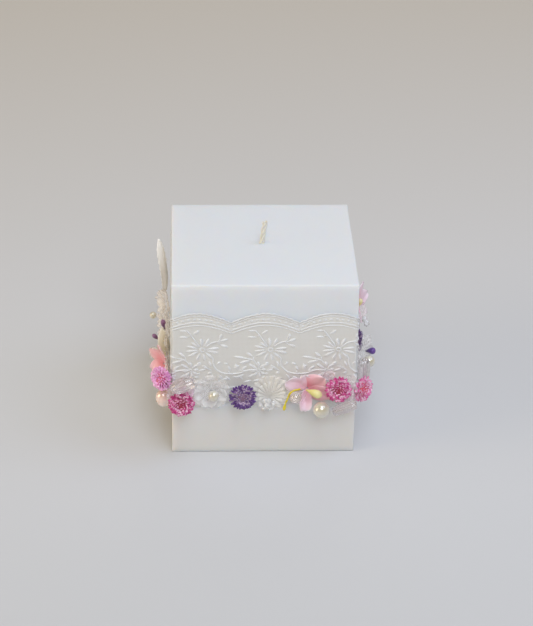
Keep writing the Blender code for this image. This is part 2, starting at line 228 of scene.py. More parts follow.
def net_material():
    """Fine tulle: a hexagonal net worked out in the band's own flat coordinates, over the wax behind it."""
    g = Graph("lace_net")
    cells = g.add("Mapping", {"Vector": g.attribute("flat", "Vector"), "Scale": (1.0, 0.86, 0)})
    mesh = {"Vector": cells, "Scale": 1500.0, "Randomness": 0.1}
    thread = g.between(g.add("TexVoronoi", mesh, feature="DISTANCE_TO_EDGE"), 0.22, 0)
    hollow = g.mix(g.noise(60, 3), srgb(227, 224, 220), srgb(223, 219, 212))
    colour = g.mix(thread, hollow, srgb(239, 237, 233))
    soft = (0.3, 1.0, (1.0, 0.85, 0.7))
    g.finish(g.body(colour, 0.8, bump=(thread, 0.06, 0.25), soft=soft, sheen=(0.2, 0.5)))


def thread_material():
    """Satin stitch: close parallel threads running across each petal, leaf and cord."""
    g = Graph("lace_thread")
    bands = {"Vector": g.attribute("flat", "Vector"), "Scale": 520.0, "Distortion": 1.6, "Detail": 2.0}
    weave = g.add("TexWave", bands, bands_direction="DIAGONAL")
    colour = g.mix(weave, srgb(226, 226, 228), (0.86, 0.865, 0.88))
    looks = {"soft": (0.2, 0.6, (1.0, 0.9, 0.8)), "sheen": (0.4, 0.4)}
    g.finish(g.body(colour, 0.5, bump=(weave, 0.08, 0.6), **looks, Specular_IOR_Level=0.4))


def bract_material(name, core, *stops):
    """Dry papery bracts, coloured from base to tip by the tint on each point, round a core of one colour."""
    g = Graph(name)
    vein = g.noise(1500, 2)
    colour = g.mix(g.between(g.attribute("core"), 0.4, 0.6), g.dye(stops, vein, 0.25), srgb(*core))
    looks = {"soft": (0.15, 0.6, (1.0, 0.4, 0.7)), "coat": (0.5, 0.2), "sheen": (0.35, 0.5)}
    g.finish(g.body(colour, 0.5, bump=(vein, 0.1, 0.5), **looks, Specular_IOR_Level=0.35))


def veil_material(name, cover, low, high):
    """Organza: a see-through weave with a soft sheen, denser along its melted edge. Lamps reach further
    through it than the camera does, because a stack of sheets would otherwise turn grey."""
    g = Graph(name)
    tint = g.attribute("tint")
    creases = g.noise(240, 4, 0.6)
    colour = g.mix(g.times(g.plus(tint, creases), 0.5), srgb(*low), srgb(*high))
    weave = g.add("TexChecker", {"Vector": g.place(), "Scale": 2600.0}, "Fac")
    relief = g.plus(creases, g.times(weave, 0.1))
    sheet = g.body(colour, 0.42, bump=(relief, 0.35, 0.7), coat=(0.2, 0.25), sheen=(0.5, 0.3))
    share = g.plus(cover, g.times(g.math("POWER", tint, 3.0), 0.35), clamp=True)
    share = g.times(share, g.math("SUBTRACT", 1.0, g.times(g.ray("Shadow"), 0.7)))
    g.finish(g.blend(share, g.add("BsdfTransparent"), g.translucent(0.08, sheet, colour)))


def silk_material(name, *stops):
    """Dyed fabric petal: the dye runs along the tint, with fine veins and a little light through it."""
    g = Graph(name)
    blotch = g.noise(160, 4, 0.6)
    colour = g.dye(stops, blotch, 0.5)
    relief = g.plus(g.noise(900, 3, 0.6), blotch)
    sheet = g.body(colour, 0.5, bump=(relief, 0.25, 0.6), coat=(0.35, 0.28), sheen=(0.3, 0.4))
    g.finish(g.translucent(0.12, sheet, colour))


def pearl_material(name, deep, rim):
    g = Graph(name)
    # Painted reflection: the colour turns paler towards the rim as the surface turns from the view, standing
    # in for the pearl's glancing reflections.
    colour = g.mix(g.add("LayerWeight", {"Blend": 0.6}, "Facing"), srgb(*deep), srgb(*rim))
    colour = g.mix(g.times(g.noise(420, 3), 0.15), colour, (0.95, 0.86, 0.84))
    looks = {"bump": (g.noise(900, 2), 0.02, 0.4), "soft": (0.3, 1.2, (1.0, 0.9, 0.7)), "coat": (1.0, 0.05)}
    g.finish(g.body(colour, 0.3, **looks, Coat_IOR=2.6))


def glass_material(name, tint, transmission=0.82, roughness=0.03):
    g = Graph(name)
    flaws = g.noise(320, 3)
    colour = g.mix(g.times(flaws, 0.3), tint, (1.0, 0.98, 0.98))
    clear = {"Transmission_Weight": transmission, "IOR": 1.33, "Coat_IOR": 1.7}
    rough = g.plus(roughness, g.times(flaws, 0.08))
    g.finish(g.body(colour, rough, bump=(g.noise(200, 2), 0.08, 0.3), coat=(1.0, 0.04), **clear))


def stamen_material(name, low, middle, high):
    g = Graph(name)
    grain = g.noise(1400, 3)
    colour = g.ramp(g.attribute("tint"), ((0.0, *low), (0.5, *middle), (1.0, *high)))
    colour = g.mix(g.times(grain, 0.25), colour, srgb(*high))
    looks = {"bump": (grain, 0.06, 0.5), "soft": (0.2, 0.8, (1.0, 0.8, 0.3)), "coat": (0.2, 0.03)}
    g.finish(g.body(colour, 0.45, **looks))


def glue_material():
    g = Graph("glue")
    colour = g.mix(g.noise(300, 3), (0.93, 0.91, 0.88), (0.97, 0.96, 0.94))
    looks = {"bump": (g.noise(500, 2), 0.1, 0.4), "soft": (0.3, 1.0, (1.0, 0.9, 0.8))}
    g.finish(g.body(colour, 0.28, **looks, Transmission_Weight=0.6))


BACKDROP = (0.535, 0.52, 0.50)


def floor_material():
    """A matt studio sweep whose tone is painted to grade lighter and warmer with distance from the camera,
    standing in for how the lamps' light falls over it, and far out runs into the plain backdrop, so that no
    view shows where the sheet ends."""
    g = Graph("studio_floor")
    depth = g.between(g.axis("Y"), -0.3, 0.7)
    # Painted light: this ramp along the depth stands in for how the light falls off and warms over the floor.
    stops = ((0.0, 200, 201, 204), (0.2, 210, 211, 214), (0.475, 215, 215, 217), (1.0, 218, 214, 209))
    matt = g.body(g.ramp(depth, stops), 0.75, Specular_IOR_Level=0.2)
    away = g.add("VectorMath", {"Vector": g.place()}, "Value", operation="LENGTH")
    fade = g.math("POWER", g.between(away, 0.68, 1.28), 1.3)
    plain = g.add("Emission", {"Color": BACKDROP, "Strength": 1.0})
    g.finish(g.blend(g.times(fade, g.ray("Camera")), matt, plain))


def make_materials():
    wax_material()
    cotton_material()
    steel_material()
    net_material()
    thread_material()
    glue_material()
    floor_material()
    # Painted light in the globe dyes: the near-white band across each bract's middle is a painted highlight,
    # and the dark low end partly paints the shade down between the bracts.
    bract_material(
        "globe_pink", (160, 34, 70), (0.0, 104, 4, 54), (0.2, 170, 26, 104), (0.32, 222, 100, 168),
        (0.43, 253, 232, 244), (0.54, 246, 176, 216), (0.68, 212, 66, 150), (0.84, 184, 28, 114),
        (1.0, 206, 70, 146),
    )  # fmt: skip
    # A paler, rosier copy of the pink dye for the right side's flower: partly its own colour, partly painted
    # light that brightens it where the front sees its shaded side.
    bract_material(
        "globe_rose_painted_light", (226, 92, 110), (0.0, 150, 24, 84), (0.2, 206, 62, 138), (0.36, 250, 186, 222),
        (0.5, 254, 236, 246), (0.66, 238, 142, 194), (0.84, 214, 74, 148), (1.0, 226, 116, 178),
    )  # fmt: skip
    bract_material(
        "globe_lilac", (216, 104, 140), (0.0, 188, 70, 150), (0.3, 230, 134, 206), (0.5, 250, 210, 242),
        (0.7, 240, 170, 226), (1.0, 236, 156, 214),
    )  # fmt: skip
    bract_material(
        "globe_purple", (150, 112, 140), (0.0, 112, 72, 124), (0.24, 168, 134, 174), (0.36, 238, 222, 236),
        (0.47, 136, 94, 164), (0.6, 80, 36, 120), (0.8, 102, 58, 144), (1.0, 62, 26, 96),
    )  # fmt: skip
    bract_material("bud_purple", (60, 36, 60), (0.0, 52, 22, 84), (0.6, 76, 38, 124), (1.0, 108, 68, 156))
    bract_material("bud_mauve", (80, 50, 70), (0.0, 84, 44, 84), (0.6, 118, 70, 116), (1.0, 156, 112, 152))
    veil_material("organza", 0.20, (246, 242, 240), (253, 251, 250))
    veil_material("organza_pink", 0.22, (248, 226, 232), (253, 244, 247))
    veil_material("organza_stiff", 0.36, (242, 237, 229), (252, 250, 247))
    veil_material("organza_lilac", 0.28, (238, 206, 234), (252, 236, 247))
    veil_material("organza_beige", 0.24, (248, 241, 235), (254, 250, 248))
    silk_material(
        "silk_pink", (0.0, 242, 172, 192), (0.3, 250, 208, 224), (0.6, 253, 226, 240), (1.0, 255, 246, 250),
    )  # fmt: skip
    silk_material(
        "silk_coral", (0.0, 222, 118, 138), (0.35, 242, 178, 192), (0.7, 250, 208, 218), (1.0, 254, 232, 238),
    )  # fmt: skip
    silk_material(
        "silk_deep_coral", (0.0, 240, 128, 142), (0.35, 253, 184, 192), (0.7, 255, 208, 214),
        (1.0, 255, 228, 232),
    )  # fmt: skip
    silk_material("silk_white", (0.0, 240, 236, 232), (0.5, 251, 249, 247), (1.0, 255, 254, 253))
    silk_material("silk_yellow", (0.0, 236, 226, 186), (0.5, 252, 242, 216), (1.0, 255, 251, 240))
    pearl_material("pearl", (196, 188, 160), (226, 224, 214))
    pearl_material("pearl_peach", (240, 204, 186), (250, 228, 216))
    glass_material("glass_cut", (0.97, 0.97, 0.98), 0.55, 0.05)
    glass_material("glass_cream", (0.93, 0.91, 0.84), 0.45, 0.08)
    glass_material("glass_warm", (0.94, 0.87, 0.80))
    glass_material("glass_pink", (0.975, 0.925, 0.935))
    stamen_material("stamen", (214, 190, 92), (228, 218, 142), (236, 230, 176))
    stamen_material("filament", (214, 190, 20), (222, 204, 40), (226, 214, 50))


# -------------------------------- mesh building


def grid(bm, point, columns, rows, loop=False, caps=False, ring=False, tint=None):
    """A sheet of quads through point(u, v), each from 0 to 1. With loop, u closes into a ring. With ring, so
    does v. Caps close the first and last rows."""
    layer = bm.verts.layers.float.get("tint") or bm.verts.layers.float.new("tint")
    across = columns if loop else columns + 1
    verts = []
    for row in range(rows + 1):
        line = []
        for column in range(across):
            u, v = column / columns, row / rows
            vert = bm.verts.new(point(u, v))
            if tint:
                vert[layer] = tint(u, v)
            line.append(vert)
        verts.append(line)
    following = verts[1:] + (verts[:1] if ring else [])
    for low, high in zip(verts, following):
        for column in range(columns):
            after = (column + 1) % across
            bm.faces.new((low[column], low[after], high[after], high[column]))
    if caps:
        bm.faces.new(list(reversed(verts[0])))
        bm.faces.new(verts[-1])
    return verts


def tube(bm, path, radius_at, sides, tint=None):
    """A capped tube along a path of vectors, as wide at each share of the path as radius_at says."""
    frames = []
    side_way = None
    for index, spot in enumerate(path):
        ahead = path[min(index + 1, len(path) - 1)] - path[max(index - 1, 0)]
        ahead.normalize()
        if side_way is None:
            side_way = ahead.orthogonal().normalized()
        side_way = (side_way - ahead * side_way.dot(ahead)).normalized()
        frames.append((spot, side_way, ahead.cross(side_way)))

    def point(u, v):
        spot, one, two = frames[round(v * (len(path) - 1))]
        return spot + (one * cos(2 * pi * u) + two * sin(2 * pi * u)) * radius_at(v)

    return grid(bm, point, sides, len(path) - 1, loop=True, caps=True, tint=tint)


def smooth_line(points, pieces):
    """A Catmull-Rom curve through the points, with pieces(length) steps between each pair."""
    line = [Vector(point) for point in points]
    line = [2 * line[0] - line[1]] + line + [2 * line[-1] - line[-2]]
    path = []
    for a, b, c, d in zip(line, line[1:], line[2:], line[3:]):
        count = pieces((c - b).length)
        for k in range(count):
            t = k / count
            bend = (2 * a - 5 * b + 4 * c - d) * t**2 + (3 * b - a - 3 * c + d) * t**3
            path.append(0.5 * (2 * b + (c - a) * t + bend))
    return path + [line[-2]]


def link(obj):
    bpy.context.scene.collection.objects.link(obj)
    return obj


def finish_piece(name, bm, material, node=None, smooth=True, transform=None, sheet=0.0):
    """Makes the mesh an object that rides on the candle and stands for a CAD node, if one is given. A sheet
    thickness, in millimetres, turns an open surface into a thin solid."""
    bmesh.ops.recalc_face_normals(bm, faces=bm.faces)
    if transform:
        bm.transform(transform)
    mesh = bpy.data.meshes.new(name)
    bm.to_mesh(mesh)
    bm.free()
    if smooth:
        mesh.shade_smooth()
    mesh.materials.append(MATERIALS[material])
    obj = link(bpy.data.objects.new(name, mesh))
    if sheet:
        solid = obj.modifiers.new("sheet", "SOLIDIFY")
        solid.thickness = sheet * MM
        solid.offset = 0.0
    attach(obj, "root")
    if node:
        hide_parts(node)


# -------------------------------- wax and wick

WAX_EDGE = 0.45 * MM


def wax_block():
    """The poured block: soft edges, a faint hollow round the wick and a small collar of wax up its foot."""
    half, centre = (WAX_HIGH - WAX_LOW) / 2, (WAX_HIGH + WAX_LOW) / 2
    flat_steps = 36
    bm = bmesh.new()

    def stations(reach):
        """Where the grid lines of a face run: even over its flat middle, closer round its two soft edges."""
        inner = [(-1 + 2 * i / flat_steps) * (reach - WAX_EDGE) for i in range(flat_steps + 1)]
        round_edge = [reach - WAX_EDGE + WAX_EDGE * sin(radians(angle)) for angle in (22, 45, 68, 90)]
        return [-station for station in reversed(round_edge)] + inner + round_edge

    def softened(spot):
        """The block's surface at a point of its sharp box, with the wax's unevenness."""
        core = Vector([max(-(half[i] - WAX_EDGE), min(half[i] - WAX_EDGE, spot[i])) for i in range(3)])
        away = (spot - core).normalized()
        spot = core + away * WAX_EDGE
        wave = noise.noise(spot * 28 + Vector((3, 1, 7))) * 0.16 + noise.noise(spot * 90) * 0.04
        if spot.z > 0 or abs(away.z) < 0.9:
            spot -= away * abs(wave) * MM
        return spot

    for axis in range(3):
        one, two = (axis + 1) % 3, (axis + 2) % 3
        us, vs = stations(half[one]), stations(half[two])
        for sign in (-1, 1):

            def point(u, v, axis=axis, one=one, two=two, sign=sign, us=us, vs=vs):
                spot = Vector((0, 0, 0))
                spot[axis] = sign * half[axis]
                spot[one] = us[round(u * (len(us) - 1))]
                spot[two] = vs[round(v * (len(vs) - 1))]
                spot = softened(spot)
                if sign > 0 and axis == 2:
                    from_wick = hypot(spot.x, spot.y) / MM
                    collar = 0.55 * exp(-((from_wick / 2.4) ** 2))
                    spot.z += (collar - 0.25 * exp(-((from_wick / 22) ** 2))) * MM
                return spot + centre

            grid(bm, point, len(us) - 1, len(vs) - 1)
    bmesh.ops.remove_doubles(bm, verts=bm.verts, dist=0.02 * MM)
    finish_piece("wax_block", bm, "wax", "wax_body")


def wick_braid():
    """Three twisted plies of waxed cotton, leaning as they leave the wax, a little frayed at the cut end."""
    foot, tip = WAX_HIGH.z - 3 * MM, WICK_HIGH.z + 0.3 * MM
    bm = bmesh.new()
    ply_radius, offset = 0.78 * MM, 0.74 * MM
    steps = 44
    for ply in range(3):
        path = []
        for step in range(steps + 1):
            share = step / steps
            level = foot + (tip - foot) * share - ply * 0.25 * MM * share
            lean = Vector((-0.6 + 1.9 * share**1.3, 0.5 - 0.2 * share, 0)) * MM
            angle = 2 * pi * (ply / 3 + 1.15 * share)
            splay = offset * (1 + 0.25 * max(0, share - 0.85) / 0.15)
            path.append(lean + Vector((splay * cos(angle), splay * sin(angle), level)))
        tube(bm, path, lambda share: ply_radius * (1 - 0.35 * max(0, share - 0.93) / 0.07), 10)
    rng = random.Random(5)
    for _ in range(9):
        angle = rng.uniform(0, 2 * pi)
        base = Vector((1.3 * MM + 0.9 * MM * cos(angle), 0.3 * MM + 0.9 * MM * sin(angle), tip - 1.2 * MM))
        lift = Vector((rng.uniform(-0.5, 0.7), rng.uniform(-0.5, 0.5), rng.uniform(1.0, 1.7))) * MM
        tube(bm, [base, base + lift * 0.5, base + lift], lambda share: 0.10 * MM * (1.1 - 0.8 * share), 5)
    finish_piece("wick_braid", bm, "wick_cotton", "wick")


# -------------------------------- lace

LACE_CORNER = 2.0 * MM
LACE_MIDDLE = LACE_HIGH.x - 0.3 * MM
LACE_STRAIGHT = LACE_MIDDLE - LACE_CORNER
LACE_QUARTER = 2 * LACE_STRAIGHT + LACE_CORNER * pi / 2
SCALLOPS = 11
PITCH = 4 * LACE_QUARTER / SCALLOPS
FIRST_PEAK = 0.4 * MM
# Where the net lies in the band's thickness, and the stitches' undersides on it, in millimetres.
NET_LIFT = -0.60
PAD_LIFT = -0.52


def wrap(run, lift, level):
    """Flat lace coordinates to space: run goes round the band from the front's middle, and lift goes out."""
    side = floor(run / LACE_QUARTER + 0.5)
    local = run - side * LACE_QUARTER
    over = abs(local) - LACE_STRAIGHT
    if over > 0:
        angle = over / LACE_CORNER
        along = copysign(LACE_STRAIGHT + (LACE_CORNER + lift) * sin(angle), local)
        out = LACE_STRAIGHT + (LACE_CORNER + lift) * cos(angle)
    else:
        along, out = local, LACE_MIDDLE + lift
    return Matrix.Rotation(side * pi / 2, 3, "Z") @ Vector((along, -out, level))


def wrap_mesh(bm):
    """Bends a mesh from flat coordinates (run, lift, level) round the candle, and keeps them for its look."""
    layer = bm.verts.layers.float_vector.new("flat")
    for vert in bm.verts:
        run, lift, level = vert.co
        vert[layer] = Vector((run, level, 0))
        vert.co = wrap(run, lift, level)


def lace_net():
    """The tulle behind the needlework, with a scalloped top and a lower edge that sags between the peaks."""
    columns = 3 * ceil(4 * LACE_QUARTER / (3.2 * MM))
    columns += columns % 2
    top_valley, top_rise = 80.6, 5.2
    low_valley, low_drop = 31.4, 2.8
    bm = bmesh.new()

    def point(u, v):
        run = (u - 0.5) * 4 * LACE_QUARTER
        peak = abs(cos(pi * (run - FIRST_PEAK) / PITCH))
        top, low = top_valley + top_rise * peak, low_valley - low_drop * peak
        sag = 0.10 * noise.noise(Vector((run * 60, v * 3, 0))) * min(1.0, 12 * min(u, 1 - u))
        return Vector((run, (NET_LIFT + sag) * MM, (low + (top - low) * v) * MM))

    grid(bm, point, columns, 14)
    wrap_mesh(bm)
    finish_piece("lace_net", bm, "lace_net", "lace_band", sheet=0.16)


def stitch_pad(bm, start, end, width, height=0.46, belly=0.55):
    """One satin-stitched petal or leaf: a low closed cushion from start to end, in flat millimetres."""
    along = end - start
    across = Vector((-along.y, along.x)).normalized()
    sides = 8

    def point(u, v):
        swell = sin(pi * v ** (log(0.5) / log(belly))) ** 0.62 if 0 < v < 1 else 0.0
        angle = 2 * pi * u
        flat = start + along * v + across * 0.5 * width * swell * cos(angle)
        lift = height * swell * max(sin(angle), -0.25)
        return Vector((flat.x, lift + PAD_LIFT, flat.y)) * MM

    rings = []
    for share in (0.08, 0.25, 0.5, 0.75, 0.92):
        rings.append([bm.verts.new(point(k / sides, share)) for k in range(sides)])
    tips = [bm.verts.new(point(0, 0.0)), bm.verts.new(point(0, 1.0))]
    for k in range(sides):
        after = (k + 1) % sides
        for low, high in zip(rings, rings[1:]):
            bm.faces.new((low[k], low[after], high[after], high[k]))
        bm.faces.new((tips[0], rings[0][after], rings[0][k]))
        bm.faces.new((tips[1], rings[-1][k], rings[-1][after]))


def cord(bm, points, radius, lift=0.0):
    """A raised cord through flat millimetre points, somewhat flattened against the net."""
    line = smooth_line(points, lambda length: max(2, ceil(length / 0.9)))
    path = [Vector((spot.x, 0, spot.y)) * MM for spot in line]
    for ring in tube(bm, path, lambda share: radius * MM, 6):
        for vert in ring:
            vert.co.y = vert.co.y * 0.6 + (PAD_LIFT + lift + radius * 0.4) * MM


DAISY = Vector((2.8, 64.4))
DAISY_PETALS = (
    ((-0.9, 7.0), 2.1), ((3.6, 6.8), 1.9), ((8.9, 1.0), 1.8), ((8.8, -2.2), 1.9), ((5.9, -5.9), 1.7),
    ((1.1, -7.0), 1.7), ((-3.4, -6.7), 1.7), ((-7.7, -4.2), 1.7), ((-8.6, -1.1), 1.6), ((-8.6, 2.2), 1.5),
    ((-5.9, 4.5), 1.5),
)  # fmt: skip
SMALL_FLOWER = Vector((-6.3, -12.8))
SMALL_PETALS = ((93, 5.4), (142, 5.2), (190, 4.4), (236, 4.4), (282, 4.4), (322, 4.2), (8, 4.2), (48, 4.4))
LEAVES = (
    ((-8.2, 11.4), (-12.0, 11.6), 1.3), ((-7.6, 7.5), (-12.3, 7.7), 1.6), ((-5.0, 9.3), (-1.6, 11.8), 1.7),
    ((9.2, 6.4), (10.4, 9.8), 1.7), ((9.5, 4.9), (13.6, 6.5), 1.7), ((9.2, 3.2), (13.7, 1.5), 1.7),
    ((-13.4, -5.4), (-19.8, -4.2), 1.6), ((-9.2, -4.7), (-13.0, -1.7), 1.7),
    ((-10.2, -6.4), (-16.8, -8.5), 1.8), ((-3.2, -8.9), (-0.9, -7.9), 1.3),
    ((-5.2, -11.2), (-3.4, -9.2), 1.2), ((-0.4, -10.0), (4.2, -12.4), 1.5),
    ((-2.6, -13.2), (2.0, -12.2), 1.6), ((-3.2, -15.4), (-1.2, -14.4), 1.3),
    ((2.6, -15.2), (5.0, -13.8), 1.6), ((3.4, -7.0), (4.8, -10.6), 1.6), ((18.0, -8.6), (18.6, -12.6), 1.7),
    ((11.6, -8.2), (13.8, -9.2), 1.5), ((13.9, -10.0), (15.0, -13.0), 1.4),
    ((22.6, -11.0), (20.9, -13.6), 1.4), ((-0.6, -8.4), (-4.2, -10.4), 1.6),
    ((-8.4, -11.4), (-11.6, -8.8), 1.7), ((-8.4, -15.2), (-12.0, -17.4), 1.6),
    ((-14.0, -15.4), (-18.6, -17.6), 1.5), ((7.6, -9.4), (9.6, -7.6), 1.3),
    ((8.6, -15.2), (10.8, -18.4), 1.5), ((-14.6, -20.6), (-10.2, -19.0), 1.6),
    ((-9.2, -19.6), (-5.0, -18.6), 1.6), ((1.6, -18.8), (6.0, -17.6), 1.5),
    ((10.2, -18.8), (14.2, -17.8), 1.5), ((12.4, -16.4), (15.2, -19.0), 1.5),
    ((16.2, -16.6), (19.8, -17.4), 1.5), ((19.6, -16.0), (21.8, -18.6), 1.4),
    ((-16.6, -9.6), (-19.6, -11.6), 1.5), ((-12.6, -10.2), (-15.6, -12.2), 1.5),
    ((-13.0, -13.0), (-16.4, -13.0), 1.4), ((-1.6, -17.0), (-4.6, -17.2), 1.4),
    ((5.6, -20.8), (9.6, -20.4), 1.4), ((-3.4, -21.2), (0.4, -20.6), 1.4),
)  # fmt: skip
STEMS = (
    (((-1.6, 1.9), (-4.4, 6.2), (-6.6, 9.6), (-8.4, 11.8)), 0.42),
    (((-6.2, 9.0), (-7.7, 8.0)), 0.32),
    (((1.8, 1.8), (4.6, 3.9), (7.4, 4.8), (9.6, 5.0)), 0.40),
    (((7.2, 4.8), (8.8, 5.6), (9.4, 6.6)), 0.30),
    (((7.6, 4.7), (8.6, 4.0), (9.4, 3.2)), 0.30),
    (((-13.6, -5.3), (-10.9, -6.0), (-8.8, -7.0), (-6.9, -9.8)), 0.38),
    (((-9.3, -4.7), (-8.9, -6.8)), 0.30),
    (((4.2, -3.6), (5.6, -5.6), (5.6, -8.6), (6.9, -11.4),
     (9.5, -13.8), (13.1, -14.8), (16.2, -15.0)), 0.46),
    (((16.2, -15.0), (20.1, -14.5), (24.0, -12.9), (27.9, -12.5), (29.6, -12.7)), 0.46),
    (((14.2, -13.2), (14.6, -14.8)), 0.30),
    (((0.4, -9.6), (2.6, -11.2), (4.8, -13.0)), 0.34),
    (((-12.4, -23.9), (-6.0, -23.2), (0.6, -23.6), (7.0, -23.0),
     (12.4, -23.6), (18.0, -23.2), (24.2, -23.9)), 0.36),
)  # fmt: skip


def flat_ring(centre, reach, count):
    """The points of a closed ring in flat millimetres."""
    turns = [2 * pi * k / count for k in range(count + 1)]
    return [centre + Vector((cos(turn), sin(turn))) * reach for turn in turns]


def border(bm, peak, rng):
    """One repeat's scalloped edge: four cords, the topmost with picots, and a row of dots between them."""
    half = PITCH / MM / 2

    def edge(u, top, drop):
        return (peak + u, top - drop * (1 - abs(cos(pi * u / (2 * half)))))

    steps = 36
    runs = [-half + 2 * half * k / steps for k in range(steps + 1)]
    picots = [0.42 * abs(sin(pi * k / 3)) for k in range(steps + 1)]
    cord(bm, [edge(u, 86.1 + picot, 5.5) for u, picot in zip(runs, picots)], 0.42)
    for top, drop, radius in ((84.9, 5.3, 0.30), (80.9, 4.8, 0.38), (79.2, 4.8, 0.34)):
        cord(bm, [edge(u, top, drop) for u in runs[::2]], radius)
    dots = 12
    for k in range(dots):
        u = -half + 2 * half * (k + 0.5) / dots
        middle = Vector(edge(u, 82.8, 4.9))
        reach = Vector((1, -0.35 * u / half)) * (0.85 + 0.12 * rng.random())
        stitch_pad(bm, middle - reach, middle + reach, 1.5, 0.3)


def daisy_spray(bm, peak, rng):
    """One repeat's needlework below its scallop: the daisy, the small flower, the leaves and the stems."""
    daisy = DAISY + Vector((peak, 0))
    for tip, width in DAISY_PETALS:
        way = Vector(tip).normalized()
        reach = Vector(tip).length + rng.uniform(-0.2, 0.2)
        stitch_pad(bm, daisy + way * 1.9, daisy + way * reach, width, 0.5, 0.64)
    cord(bm, flat_ring(daisy, 1.15, 12), 0.38, 0.12)
    small = daisy + SMALL_FLOWER
    for angle, reach in SMALL_PETALS:
        way = Vector((cos(radians(angle)), sin(radians(angle))))
        stitch_pad(bm, small + way, small + way * reach, 1.9, 0.48, 0.62)
    cord(bm, flat_ring(small, 0.7, 10), 0.32, 0.12)
    for start, end, width in LEAVES:
        stitch_pad(bm, daisy + Vector(start), daisy + Vector(end), width)
    for points, radius in STEMS:
        cord(bm, [daisy + Vector(point) for point in points], radius)


def embroidery():
    """The raised needlework, one piece for each repeat round the candle."""
    for repeat in range(SCALLOPS):
        side = repeat - SCALLOPS // 2
        peak = (FIRST_PEAK + side * PITCH) / MM
        rng = random.Random(100 + side)
        bm = bmesh.new()
        border(bm, peak, rng)
        daisy_spray(bm, peak, rng)
        wrap_mesh(bm)
        finish_piece(f"lace_embroidery_{repeat + 1:02d}", bm, "lace_thread")


# -------------------------------- flowers, beads and glue

ORGANZA_SHEET = 0.10
SILK_SHEET = 0.14


def side_matrix(side):
    """The frame of one side: X along it, Y up and Z out of the wax."""
    return Matrix.Rotation(SIDE_TURNS[side] * pi / 2, 4, "Z") @ Matrix.Rotation(pi / 2, 4, "X")


def half_height(node):
    low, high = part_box(node)
    return (high.z - low.z) / 2


def stand(node, aim=(0, 0, 1), spin=0.0, shift=(0, 0, 0)):
    """Local space to the place of a CAD node: its centre, with Z along aim in its side's frame. Shift is in
    the side's frame, in millimetres."""
    side = side_matrix(node.split("_")[0])
    low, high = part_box(node)
    place = (low + high) / 2 + side.to_3x3() @ (Vector(shift) * MM)
    turn = Vector((0, 0, 1)).rotation_difference(Vector(aim)).to_matrix().to_4x4()
    return Matrix.Translation(place) @ side @ turn @ Matrix.Rotation(radians(spin), 4, "Z")


def finish_part(node, part, bm, material, slot, smooth=True, sheet=0.0, **place):
    """Makes the mesh a piece that stands for one CAD node, and where it stands."""
    transform = stand(node, **place)
    finish_piece(f"{node}_{part}", bm, material, node, smooth, transform, sheet)


def bract(bm, base, reach, across_way, wide, curl, pale):
    """One keeled bract from base to reach: four rings of (share along it, breadth, height), then its tip."""
    tint = bm.verts.layers.float["tint"]
    along_way = reach - base
    up = across_way.cross(along_way.normalized())
    rings = []
    for along, spread, high in ((0.0, 0.30, 0.16), (0.40, 0.72, 0.26), (0.72, 1.0, 0.30), (0.92, 0.70, 0.24)):
        spot = base + along_way * along + up * curl * along**2
        edge = across_way * wide * 0.5 * spread
        keel = up * wide * high
        corners = (spot - edge, spot - keel * 0.5, spot + edge, spot + keel)
        verts = [bm.verts.new(corner) for corner in corners]
        for number, vert in enumerate(verts):
            # The two edges sit further along the dye than the keel: a painted highlight along each bract's
            # edges.
            vert[tint] = along * 0.72 + pale + (0.12 if number in (0, 2) else -0.04)
        rings.append(verts)
    tip = bm.verts.new(reach + up * curl * 1.1)
    tip[tint] = 0.95 + pale * 0.5
    bm.faces.new(rings[0])
    for k in range(4):
        after = (k + 1) % 4
        for low, high in zip(rings, rings[1:]):
            bm.faces.new((low[k], low[after], high[after], high[k]))
        bm.faces.new((rings[-1][k], rings[-1][after], tip))


def globe_flower(
    node, colour, across=14.6, depth=4.5, seed=0, bracts=128, width=1.5, heart=0.6, **place
):
    """A dried globe flower: keeled papery bracts in a golden-angle spiral round a small open heart."""
    rng = random.Random(seed)
    bm = bmesh.new()
    bm.verts.layers.float.new("tint")
    core = bm.verts.layers.float.new("core")
    size = Vector((across / 2, across / 2, depth)) * MM
    made = bmesh.ops.create_uvsphere(bm, u_segments=20, v_segments=12, radius=1.0)
    for vert in made["verts"]:
        vert.co = vert.co * size * heart
        vert[core] = 1.0
    lowest = radians(112)
    for index in range(bracts):
        share = (index + 2.5) / (bracts + 2.5)
        polar = acos(1 - share * (1 - cos(lowest)))
        angle = index * GOLDEN_ANGLE + rng.uniform(-0.10, 0.10)
        shell = Vector((sin(polar) * cos(angle), sin(polar) * sin(angle), cos(polar))) * size
        base = shell * 0.44
        reach = shell * (rng.uniform(0.93, 1.07) - 0.20 * exp(-((polar / 0.5) ** 2)))
        across_way = Vector((cos(angle + pi / 2), sin(angle + pi / 2), 0))
        across_way.rotate(Matrix.Rotation(rng.uniform(-0.4, 0.4), 3, (reach - base).normalized()))
        wide = width * rng.uniform(0.85, 1.15) * MM
        curl = rng.uniform(-0.06, 0.16) * (reach - base).length
        pale = rng.choice((-0.16, -0.08, 0.0, 0.05, 0.12, 0.22))
        bract(bm, base, reach, across_way, wide, curl, pale)
    slot = "globe_purple" if colour == "globe_purple" else "globe_pink"
    finish_part(node, "bracts", bm, colour, slot, smooth=False, **place)


def purple_flower(node, across, seed, depth=5.0, **place):
    """A purple globe flower has fewer and narrower bracts round a smaller heart."""
    globe_flower(node, "globe_purple", across, depth, seed, bracts=116, width=1.25, heart=0.36, **place)


